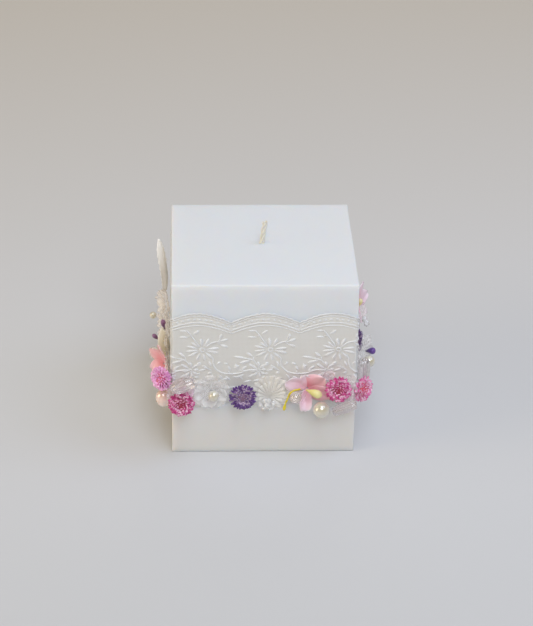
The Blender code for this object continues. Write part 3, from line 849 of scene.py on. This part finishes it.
def pearl(node, material="pearl", slot="pearl", tall=1.0, scale=1.0, spin=25.0, **place):
    """A round bead drilled along local X: a skin round its outside and back down the thread hole."""
    skin_share = 0.85
    radius = half_height(node) / tall * scale * 1.02
    hole = 0.38 * MM / radius
    half = sqrt(1 - hole**2)
    bm = bmesh.new()

    def point(u, v):
        turn = 2 * pi * u
        if v <= skin_share:
            lift = -cos(pi * 0.5 * (1 - cos(pi * v / skin_share)))
            axial, reach = lift * half, max(sqrt(max(0.0, 1 - lift * lift)), hole)
        else:
            axial, reach = (1 - 2 * (v - skin_share) / (1 - skin_share)) * half * 0.97, hole * 0.9
        return Vector((axial, reach * cos(turn), reach * sin(turn) * tall)) * radius

    grid(bm, point, 36, 22, loop=True, ring=True)
    finish_part(node, "bead", bm, material, slot, spin=spin, **place)


def cut_stone(bm, radius, turn, centre=(0, 0, 0), squash=1.0):
    """A cut crystal: rings of facets above and below a girdle, with a flat table at the top and bottom."""
    outline = ((0.46, 0.86), (0.86, 0.46), (1.0, 0.0), (0.86, -0.46), (0.46, -0.86))
    rings = []
    for number, (reach, level) in enumerate(outline):
        start = turn + (pi / 8 if number % 2 else 0)
        turns = [start + k * pi / 4 for k in range(8)]
        corners = [Vector((cos(angle) * reach, sin(angle) * reach, level * squash)) for angle in turns]
        rings.append([bm.verts.new(Vector(centre) + corner * radius) for corner in corners])
    bm.faces.new(rings[0])
    bm.faces.new(rings[-1])
    for number, (one, two) in enumerate(zip(rings, rings[1:])):
        for k in range(8):
            after = (k + 1) % 8
            if number % 2 == 0:
                bm.faces.new((one[k], one[after], two[k]))
                bm.faces.new((one[after], two[after], two[k]))
            else:
                bm.faces.new((one[k], one[after], two[after]))
                bm.faces.new((one[k], two[after], two[k]))


def crystal(node, seed, cluster=1, **place):
    """A cut stone, with smaller ones round it when it is a cluster."""
    radius = half_height(node)
    rng = random.Random(seed)
    bm = bmesh.new()
    cut_stone(bm, radius, turn=0.3, squash=0.9)
    for k in range(1, cluster):
        angle = 2 * pi * k / (cluster - 1) + rng.uniform(-0.3, 0.3)
        centre = Vector((cos(angle) * 1.75, sin(angle) * 1.3, -0.35)) * radius
        cut_stone(bm, radius * rng.uniform(0.55, 0.8), rng.uniform(0, 1), centre)
    finish_part(node, "cut", bm, "glass_cut", "glass_clear", smooth=False, **place)


def long_bead(node, length, across, aim, waist=0.9, **place):
    """A fluted long bead of moulded glass, narrow at its waist and drilled from end to end along local Z."""
    bore = 0.7 * MM
    half, radius = length / 2 * MM, across / 2 * MM
    flutes = 7
    barrel = [(-0.6 + 0.2 * k, 1.0) for k in range(7)]
    end = [(0.78, 0.98), (0.9, 0.90), (0.97, 0.74), (1.0, 0.55)]
    profile = [(-z, share) for z, share in reversed(end)] + barrel + end
    inside = (0.99, 0.5, -0.5, -0.99)
    rows = len(profile) + len(inside) - 1
    bm = bmesh.new()

    def point(u, v):
        index = round(v * rows)
        turn = 2 * pi * u
        if index < len(profile):
            z, share = profile[index]
            narrow = 1 - (1 - waist) * z**2
            fading = min(1, 3 * (1 - abs(z) ** 3) + 0.15)
            groove = 1 - 0.12 * (1 - abs(cos(flutes * turn / 2))) ** 0.8 * fading
            reach = max(radius * share * narrow * groove, bore)
        else:
            z = inside[index - len(profile)]
            reach = bore * 0.85
        return Vector((reach * cos(turn), reach * sin(turn), z * half))

    grid(bm, point, flutes * 10, rows, loop=True, ring=True)
    finish_part(node, "glass", bm, "glass_pink", "glass_pink", aim=aim, **place)


def petal(
    bm, angle, length, width, base, lift, ruffle, tip, phase, tint=(0.2, 1.0), cup=1.0, curl=0.0,
    height=0.0, broad=0.62, square=0.7, skew=0.0, fold=0.0, cells=(10, 12),
):  # fmt: skip
    """One fabric petal lying out from the centre at an angle, in millimetres. Lift raises its end, ruffle
    waves its edge, tip notches its end, phase shifts its waves, cup raises its sides, curl rolls its end back
    over, broad is the share of its length where it is widest, a lower square makes its outline squarer, skew
    bends it to one side and fold creases it along its length."""
    turn = Matrix.Rotation(radians(angle), 3, "Z")
    widest = round(log(0.5) / log(broad), 2)
    curl_start = 0.55

    def point(u, v):
        across = 2 * u - 1
        swell = sin(pi * (v * 0.93 + 0.02) ** widest) ** square * (1 - 0.12 * v)
        reach = base + (length - base) * v * (1 - tip * (1 - abs(across)) * v**3) * (1 - 0.10 * across**2 * v)
        wobble = 1 + 0.10 * ruffle * sin(4.2 * v + 2.1 * phase + (1.7 if across > 0 else 0))
        side = 0.5 * width * across * max(swell, 0.10) * wobble + skew * v**2
        rise = lift * v**1.6 + cup * across**2 * swell * (0.4 + v) * 0.5
        rise += fold * cos(3.4 * across + phase) * v * (1.25 - v)
        rise += ruffle * v**1.5 * (sin(5.5 * across + phase) * abs(across) + 0.4 * sin(9 * v + phase))
        if curl and v > curl_start:
            roll = pi * 0.8 * (v - curl_start) / (1 - curl_start)
            rise += curl * sin(roll)
            reach -= curl * (1 - cos(roll)) * 0.7
        return turn @ Vector((reach, side, height + rise)) * MM

    # The tint rises towards the end and the sides: the dye's fade and organza's denser melted edge, and
    # partly a painted highlight where the rims catch the light.
    def shade(u, v):
        return tint[0] + (tint[1] - tint[0]) * min(1.0, v**1.2 * 0.85 + 0.25 * abs(2 * u - 1) ** 3)

    grid(bm, point, cells[0], cells[1], tint=shade)


def organza_flower(node, across, seed, colour="organza", **place):
    """Two layers of see-through petals, each a separately cut and heat-curled piece of organza."""
    rng = random.Random(seed)
    petals = 5
    bm = bmesh.new()
    for layer in range(2):
        reach = across / 2 * (1.06 - 0.22 * layer)
        for number in range(petals):
            angle = 360 * (number + 0.5 * layer) / petals + rng.uniform(-8, 8) + 20
            petal(
                bm, angle, reach * rng.uniform(0.90, 1.08), reach * rng.uniform(0.80, 1.0), 0.5,
                lift=1.4 + 1.3 * layer + rng.uniform(-0.5, 0.6), cup=0.9, ruffle=0.9,
                height=-1.6 + 0.9 * layer, tip=0.10, phase=rng.uniform(0, 6), broad=0.7, square=0.55,
                skew=rng.uniform(-1.0, 1.0), fold=rng.uniform(-0.9, 0.9), cells=(12, 14),
            )  # fmt: skip
    finish_part(node, "petals", bm, colour, "organza", sheet=ORGANZA_SHEET, **place)


def rosette(node, across, seed, **place):
    """A pleated fan of stiff clear organza gathered low of its middle, in two tiers."""
    pleats = 17
    bm = bmesh.new()
    for tier in range(2):
        radius = across / 2 * (1.04 - 0.30 * tier)
        hub = Vector((-0.8, -2.4 - 0.4 * tier))

        def point(u, v, radius=radius, hub=hub, tier=tier):
            turn = 2 * pi * u + 0.2 * tier
            way = Vector((cos(turn), sin(turn)))
            uneven = noise.noise(Vector((way.x * 3, way.y * 3, seed)))
            rim = way * radius * (1 + 0.05 * cos(pleats * turn) + 0.025 * uneven)
            flat = hub + (rim - hub) * v
            fold = (0.42 + 0.16 * tier) * v**1.3 * cos(pleats * turn)
            return Vector((flat.x, flat.y, -0.9 + 1.3 * tier + 1.2 * v**1.5 + fold)) * MM

        # The tint rises towards the rim, as at a melted edge, and along the pleat crests, where its paler,
        # denser tone is partly a painted highlight.
        def shade(u, v):
            return v**2 * (0.7 + 0.3 * cos(pleats * 2 * pi * u))

        grid(bm, point, pleats * 8, 9, loop=True, tint=shade)
    finish_part(node, "pleats", bm, "organza_stiff", "organza", sheet=ORGANZA_SHEET, **place)


def teardrop(node, length, across, aim, material="stamen", slot="stamen_yellow", **place):
    """A stamen head or bud along local Z, thin where it grows from and blunt at its far end."""
    steps = 20
    bm = bmesh.new()

    def radius(share):
        if share < 0.7:
            swell = 0.15 + 0.85 * sin(pi / 2 * share / 0.7) ** 1.4
        else:
            swell = max(0.12, sqrt(max(0.0, 1 - ((share - 0.7) / 0.3) ** 2)))
        return swell * across / 2 * MM

    shares = [k / steps for k in range(steps + 1)]
    path = [Vector((0.35 * sin(2.2 * share), 0, (share - 0.5) * length)) * MM for share in shares]
    tube(bm, path, radius, 16, tint=lambda u, v: v)
    finish_part(node, "head", bm, material, slot, aim=aim, **place)


def curled_stamen(node):
    """The fine filament that arches out of the blossom's heart and hangs to a pointed yellow tip."""
    points = (
        (1.6, -0.2, -1.0), (0, 0, 0), (-1.8, 0.1, 0.9), (-3.8, -1.1, 1.5), (-4.7, -3.0, 1.7),
        (-5.4, -5.2, 1.6), (-6.2, -7.4, 1.3), (-6.6, -9.4, 1.1), (-7.05, -12.0, 1.0),
    )  # fmt: skip
    path = smooth_line(points, lambda length: 6)
    middle = Vector([(min(spot[i] for spot in path) + max(spot[i] for spot in path)) / 2 for i in range(3)])

    def radius(share):
        if share < 0.74:
            return 0.52 * MM
        if share < 0.96:
            return (0.34 + 0.58 * sin(pi / 2 * (share - 0.74) / 0.22) ** 2) * MM
        return 0.7 * MM

    bm = bmesh.new()
    tube(bm, [(spot - middle) * MM for spot in path], radius, 10, tint=lambda u, v: 0.1 + 0.5 * v)
    finish_part(node, "filament", bm, "filament", "stamen_yellow")


def blossom(node, petals, colours, seed, slot="petal_pink", **place):
    """A silk blossom from separately shaped petals: (angle, length, width, lift, curl, colour index), then
    skew, fold and cup where a petal needs its own."""
    rng = random.Random(seed)
    meshes = {name: bmesh.new() for name in colours}
    for angle, length, width, lift, curl, which, *more in petals:
        skew, fold, cup = more or (0.0, 0.5, 1.3)
        petal(
            meshes[colours[which]], angle, length, width, 0.4, lift=lift, cup=cup, ruffle=0.8, curl=curl,
            height=-1.4 + rng.uniform(0, 0.5), tip=0.05, phase=rng.uniform(0, 6), broad=0.55, square=0.55,
            skew=skew, fold=fold, tint=(0.05, 0.95), cells=(16, 18),
        )  # fmt: skip
    transform = stand(node, **place)
    for name, bm in meshes.items():
        replaced = node if name == colours[0] else None
        finish_piece(f"{node}_{name}", bm, name, replaced, transform=transform, sheet=SILK_SHEET)


def leaf(node, length, width, material, slot, barbs=0, bend=2.2, twist=0, **place):
    """A soft leaf rising along local Y, creased down its midrib, waved at its edge and twisted by so many
    degrees towards its tip. Barbs notch its sides like a feather's."""

    def point(u, v):
        across = 2 * u - 1
        half = width / 2 * sin(pi * (0.08 + 0.90 * v) ** 0.85) ** 0.95
        feather = 1 + 0.12 * sin(barbs * v * 2 * pi) * abs(across)
        side = across * half * feather
        turn = radians(twist) * v**1.5
        rise = bend * v**2 - 0.9 * (1 - abs(across)) + 0.5 * sin(7 * v + 2 * across) * abs(across) - 1.0
        lean = 1.2 * sin(2.2 * v)
        return Vector((side * cos(turn) + lean, (v - 0.5) * length, rise + side * sin(turn))) * MM

    def shade(u, v):
        return min(1.0, 0.2 + v * 0.6 + 0.3 * abs(2 * u - 1) ** 2)

    bm = bmesh.new()
    grid(bm, point, 10, 26, tint=shade)
    finish_part(node, "blade", bm, material, slot, sheet=SILK_SHEET, **place)


def glue_string(side):
    """Hot-melt glue behind one side's garland: a lumpy string, pressed flat against the wax."""
    node = f"{side}_glue_line"
    low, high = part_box(node)
    length = max(high.x - low.x, high.y - low.y)
    rng = random.Random(SIDE_TURNS[side] + 31)
    steps = 60
    lumps = [rng.uniform(0.55, 1.35) for _ in range(steps + 1)]
    wander = [rng.uniform(-1.6, 1.6) for _ in range(steps + 1)]
    path = []
    for k in range(steps + 1):
        level = (wander[k] + wander[max(0, k - 1)]) * 0.5 * MM
        path.append(Vector(((k / steps - 0.5) * length, level, 0)))
    bm = bmesh.new()
    tube(bm, path, lambda share: MM * lumps[round(share * steps)], 8)
    for vert in bm.verts:
        vert.co.z *= 0.32
    finish_piece(f"{side}_glue_string", bm, "glue", node, transform=stand(node))


def loose_petal(name, side, place, angle, length, width, lift, colour, seed):
    """One more petal tucked into a side's garland. Place is in the side's frame, in millimetres."""
    bm = bmesh.new()
    petal(bm, angle, length, width, 0.2, lift=lift, ruffle=0.5, tip=0.1, phase=seed * 1.7, tint=(0.1, 1.0))
    transform = side_matrix(side) @ Matrix.Translation(Vector(place) * MM)
    finish_piece(name, bm, colour, transform=transform, sheet=ORGANZA_SHEET)


def tucked_petals(side, colour, seed):
    """A row of loose organza petals tucked in behind one side's garland, pointing up and down in turn."""
    rng = random.Random(seed)
    count, run, out = 21, 90, 51.6
    bm = bmesh.new()
    for number in range(count):
        along = ((number + 0.5) / count - 0.5) * run + rng.uniform(-2.0, 2.0)
        level = (37.5, 42.5)[number % 2] + rng.uniform(-1.5, 1.5)
        angle = (-90, 90)[number % 2] + rng.uniform(-50, 50)
        before = len(bm.verts)
        petal(
            bm, angle, rng.uniform(7.5, 12.0), rng.uniform(7.0, 10.0), 0.2, lift=rng.uniform(0.8, 2.4),
            cup=1.1, ruffle=0.8, tip=0.08, phase=rng.uniform(0, 6), square=0.55,
            fold=rng.uniform(-0.6, 0.6), tint=(0.1, 1.0),
        )  # fmt: skip
        for vert in list(bm.verts)[before:]:
            vert.co += Vector((along, level, out + 0.25 * (number % 3))) * MM
    finish_piece(
        f"{side}_tucked_petals", bm, colour, transform=side_matrix(side), sheet=ORGANZA_SHEET
    )


# -------------------------------- garland, in the order of its pieces

SLANT = (9, 4, 0)
UPRIGHT = (0, 1, 0)
RIGHT_OPEN = (-1.2, 0, 2)
LEFT_OPEN = (0.5, 0, 2)


def front_garland():
    organza_flower("front_left_petals", 17, colour="organza_pink", seed=3)
    globe_flower("front_globe_flower_left", "globe_pink", 14.8, seed=11, shift=(0.2, 0.7, 0))
    long_bead("front_oval_bead", 13.5, 8.6, SLANT, waist=0.66, shift=(0.1, 1.4, 0))
    loose_petal("front_lilac_petal", "front", (-49, 42.6, 57.6), 4, 12, 7.5, 1.2, "organza_lilac", seed=1)
    organza_flower("front_organza_flower", 22, seed=7, shift=(-0.7, -0.2, 0))
    pearl("front_organza_pearl", shift=(0.6, 0.4, 2.0))
    purple_flower("front_globe_flower_purple", 15.2, seed=12, shift=(0.7, -0.4, 0))
    rosette("front_rosette", 20, seed=4, shift=(-0.4, 1.0, 0))
    crystal("front_rosette_crystal", cluster=7, seed=2, shift=(-0.8, -0.7, 2.2))
    blossom(
        "front_blossom",
        ((154, 13.4, 10.0, 2.4, 0.0, 0, 1.2, 1.1, 1.4), (46, 12.4, 11.6, 2.8, 0.0, 1, -0.8, 1.4, 0.6),
         (100, 9.0, 7.5, 0.6, 0.0, 0, 0.6, 0.7, 0.8), (12, 11.0, 8.0, 0.6, 0.0, 1, 0.0, 0.4, 0.8),
         (-24, 15.0, 10.8, 1.4, 0.0, 1, 0.8, 0.8, 0.8), (-93, 15.6, 7.8, 2.0, 1.2, 0, -0.8, -0.8, 2.6),
         (-138, 12.5, 8.4, 1.2, 0.0, 2)),
        colours=("silk_pink", "silk_coral", "organza_pink"), seed=5, shift=(-0.6, 0.8, 0.2),
    )  # fmt: skip
    teardrop("front_blossom_stamen", 9.4, 4.6, (8, -3.4, 1), shift=(-0.1, 0.7, 0.6))
    curled_stamen("front_curled_stamen")
    pearl("front_clear_bead", "glass_warm", "glass_clear", shift=(-0.7, 1.1, 0))
    pearl("front_pearl", shift=(0, 2.0, 0))
    organza_flower("front_right_petals", 18, colour="organza_pink", seed=9, shift=(-1, 1.4, 0))
    loose_petal("front_mauve_petal", "front", (31, 46.0, 53.2), 48, 10.0, 6.6, 1.2, "organza_pink", seed=4)
    loose_petal("front_white_petal", "front", (42, 45.0, 53.4), 34, 9.5, 7.0, 1.4, "organza", seed=5)
    globe_flower("front_globe_flower_right", "globe_pink", 14.8, seed=13, shift=(-0.7, 1.3, 0))
    long_bead("front_tube_bead", 13.8, 6.2, SLANT, shift=(0.6, 1.2, 0))


def right_garland():
    tucked_petals("right", "organza", 61)
    globe_flower("right_globe_flower_pink", "globe_rose_painted_light", aim=(-0.8, 0, 1), seed=21, shift=(0, -2.2, -2.0))
    long_bead("right_tube_bead", 13, 6.8, UPRIGHT, shift=(0, 2.2, 0))
    pearl("right_pearl", spin=100, shift=(-0.6, 1.4, 0.6))
    organza_flower("right_organza_flower", 20, seed=23, aim=RIGHT_OPEN, shift=(0, 1.5, 0))
    teardrop("right_purple_bud", 5.8, 3.9, (-2, 1, 5), "bud_purple", "globe_purple")
    purple_flower("right_globe_flower_purple", 14.4, seed=22, depth=4.2, shift=(0, -1.0, -1.6))
    crystal("right_crystal_near", seed=5, shift=(0, 3.2, 2.0))
    crystal("right_crystal_far", seed=6, shift=(0, 3.4, 0.2))
    loose_petal("right_clear_petal", "right", (8, 40, 55.0), 75, 15, 12, 1.0, "organza", seed=2)
    blossom(
        "right_blossom",
        ((80, 13.5, 11.5, 2.6, 0.0, 0), (8, 12.0, 10.5, 2.4, 0.0, 0), (-64, 12.0, 10.5, 2.0, 0.0, 1),
         (-136, 12.0, 10.5, 2.6, 0.0, 0), (152, 12.5, 10.5, 2.8, 0.0, 0)),
        aim=(-1, 0.4, 3), colours=("silk_pink", "organza_pink"), seed=24, shift=(0, 2.8, 0.4),
    )  # fmt: skip
    teardrop("right_blossom_stamen", 7.4, 3.0, (-2, 5, 1), shift=(4.0, 0.4, -2.4))


def back_garland():
    tucked_petals("back", "organza_pink", 62)
    globe_flower("back_globe_flower_left", "globe_pink", 14.8, seed=31)
    long_bead("back_oval_bead", 13.5, 8.6, SLANT, waist=0.66)
    organza_flower("back_organza_flower", 21, seed=32)
    pearl("back_organza_pearl", shift=(0, 0, 0.6))
    purple_flower("back_globe_flower_purple", 15, seed=33)
    rosette("back_rosette", 19.5, seed=8)
    crystal("back_rosette_crystal", cluster=7, seed=3, shift=(0, 0, 2.2))
    blossom(
        "back_blossom",
        ((100, 13.0, 11.0, 2.4, 0.0, 0), (28, 13.0, 11.0, 2.8, 0.0, 1), (-44, 12.0, 10.0, 2.4, 0.0, 0),
         (-116, 12.5, 9.0, 1.8, 1.8, 0), (172, 12.0, 10.0, 1.8, 0.0, 1)),
        colours=("silk_pink", "silk_coral"), seed=34,
    )  # fmt: skip
    teardrop("back_blossom_stamen", 9.0, 4.2, (-7, -4, 1))
    pearl("back_pearl")
    globe_flower("back_globe_flower_right", "globe_pink", 14.8, seed=35)
    long_bead("back_tube_bead", 12.5, 5.8, UPRIGHT)


def left_garland():
    tucked_petals("left", "organza_beige", 63)
    pearl(
        "left_peach_bead", "pearl_peach", "pearl_peach", tall=1.3, aim=(0.15, 1, 0.1), spin=115,
        shift=(0, 1.6, -1.5),
    )  # fmt: skip
    globe_flower("left_globe_flower_pink", "globe_lilac", 14.4, aim=(1, 0, 1), seed=41, shift=(0, 2.2, -1.6))
    blossom(
        "left_blossom",
        ((82, 14.0, 10.5, 3.6, 0.0, 0), (14, 13.0, 10.5, 4.6, 0.0, 0), (-58, 12.0, 10.5, 4.0, 0.0, 0),
         (-136, 11.0, 10.0, 3.0, 0.0, 0), (154, 12.0, 10.0, 3.0, 0.0, 0)),
        aim=(1.15, 0, 2), colours=("silk_deep_coral",), slot="petal_coral", seed=42, shift=(-1.0, 1.0, -3.7),
    )  # fmt: skip
    pearl(
        "left_bead", "glass_cream", "glass_clear", tall=1.3, aim=(0, 1, 0.2), spin=115, shift=(0, 0.6, -0.9),
        scale=1.55,
    )  # fmt: skip
    leaf("left_yellow_leaf", 17, 10.4, "silk_yellow", "leaf_yellow", aim=(-3, 0, 3.6), shift=(0, 1.3, -2.8))
    bud = ("bud_mauve", "globe_purple")
    teardrop("left_purple_bud_near", 5.0, 2.5, (-0.2, 2, 2), *bud, shift=(0, -3.2, -0.4))
    teardrop("left_purple_bud_far", 6.2, 3.1, (-0.8, 4, 0.8), *bud, shift=(0, 1.3, -1.0))
    beige = {"colour": "organza_beige", "aim": LEFT_OPEN}
    organza_flower("left_organza_flower", 18, seed=43, shift=(0, 2.0, -2.4), **beige)
    pearl("left_organza_pearl", spin=100, scale=0.8)
    organza_flower("left_corner_flower", 18, seed=44, shift=(0, 2.0, -2.2), **beige)
    leaf(
        "left_corner_leaf", 31, 8.4, "silk_white", "organza", barbs=9, bend=4.6, twist=34,
        aim=(-1.8, 0, 4), spin=5, shift=(0, 0.6, -3.9),
    )  # fmt: skip


# -------------------------------- studio and camera

WORLD_COLOUR = (1.0, 0.84, 0.59)
WORLD_STRENGTH = 0.33
# Soft round lamps, aimed at the candle: name, place, width across, power, colour.
LIGHTS = (
    ("overhead", (0.05, -0.5, 1.55), 0.7, 4.6, (0.76, 0.88, 1.0)),
    ("right_high", (0.85, -0.15, 1.25), 0.9, 5.4, (0.60, 0.72, 1.0)),
    ("front_high", (0.15, -1.3, 1.3), 1.1, 13.3, (0.83, 0.90, 1.0)),
    ("front_low", (0.0, -2.0, 0.55), 1.0, 0.6, (1.0, 0.99, 0.97)),
    ("left_low", (-1.6, -0.5, 0.45), 1.0, 9.6, (1.0, 0.84, 0.60)),
    ("back_fill", (0.2, 1.5, 1.0), 1.2, 2.2, (1.0, 1.0, 1.0)),
)
LIGHTS_AIM = Vector((0, 0, 0.05))
# The camera looks down from a little left of the candle's middle, in degrees to the right, down and rolled.
CAMERA_PLACE = (-0.04339, -1.08349, 0.64311)
CAMERA_YAW, CAMERA_PITCH, CAMERA_ROLL = 2.431, 28.2685, 0.973


def world():
    """A warm fill light, seen by the camera as a plain backdrop."""
    g = Graph("studio", "worlds")
    fill = g.add("Background", {"Color": WORLD_COLOUR, "Strength": WORLD_STRENGTH})
    plain = g.add("Background", {"Color": BACKDROP, "Strength": 1.0})
    g.show(g.blend(g.ray("Camera"), fill, plain), "World")
    bpy.context.scene.world = g.owner


def studio():
    bpy.ops.mesh.primitive_plane_add(size=10, location=(0, 0, -0.2 * MM))
    floor_sheet = bpy.context.active_object
    floor_sheet.name = "studio_floor"
    floor_sheet.data.materials.append(MATERIALS["studio_floor"])
    world()
    for name, place, size, power, colour in LIGHTS:
        light = bpy.data.lights.new(name, "AREA")
        light.shape = "DISK"
        light.size = size
        light.energy = power
        light.color = colour
        lamp = link(bpy.data.objects.new(name, light))
        lamp.location = place
        lamp.rotation_euler = (LIGHTS_AIM - lamp.location).to_track_quat("-Z", "Y").to_euler()


def camera():
    """The photograph's view through a long lens."""
    lens = bpy.data.cameras.new("camera")
    lens.lens = 126.7
    lens.sensor_width = 36
    lens.shift_x, lens.shift_y = 0.00072, -0.0008
    lens.clip_start = 0.02
    view = link(bpy.data.objects.new("camera", lens))
    yaw = Matrix.Rotation(radians(-CAMERA_YAW), 4, "Z")
    pitch = Matrix.Rotation(radians(90 - CAMERA_PITCH), 4, "X")
    roll = Matrix.Rotation(radians(CAMERA_ROLL), 4, "Z")
    view.matrix_world = Matrix.Translation(CAMERA_PLACE) @ yaw @ pitch @ roll
    bpy.context.scene.camera = view
    bpy.context.scene.view_settings.view_transform = "Standard"


def build():
    make_materials()
    wax_block()
    wick_braid()
    sustainer = frame["nodes"]["wick_sustainer"]
    sustainer.data.materials.clear()
    sustainer.data.materials.append(MATERIALS["sustainer_steel"])
    lace_net()
    embroidery()
    for side in SIDE_TURNS:
        glue_string(side)
    front_garland()
    right_garland()
    back_garland()
    left_garland()


build()
studio()
camera()
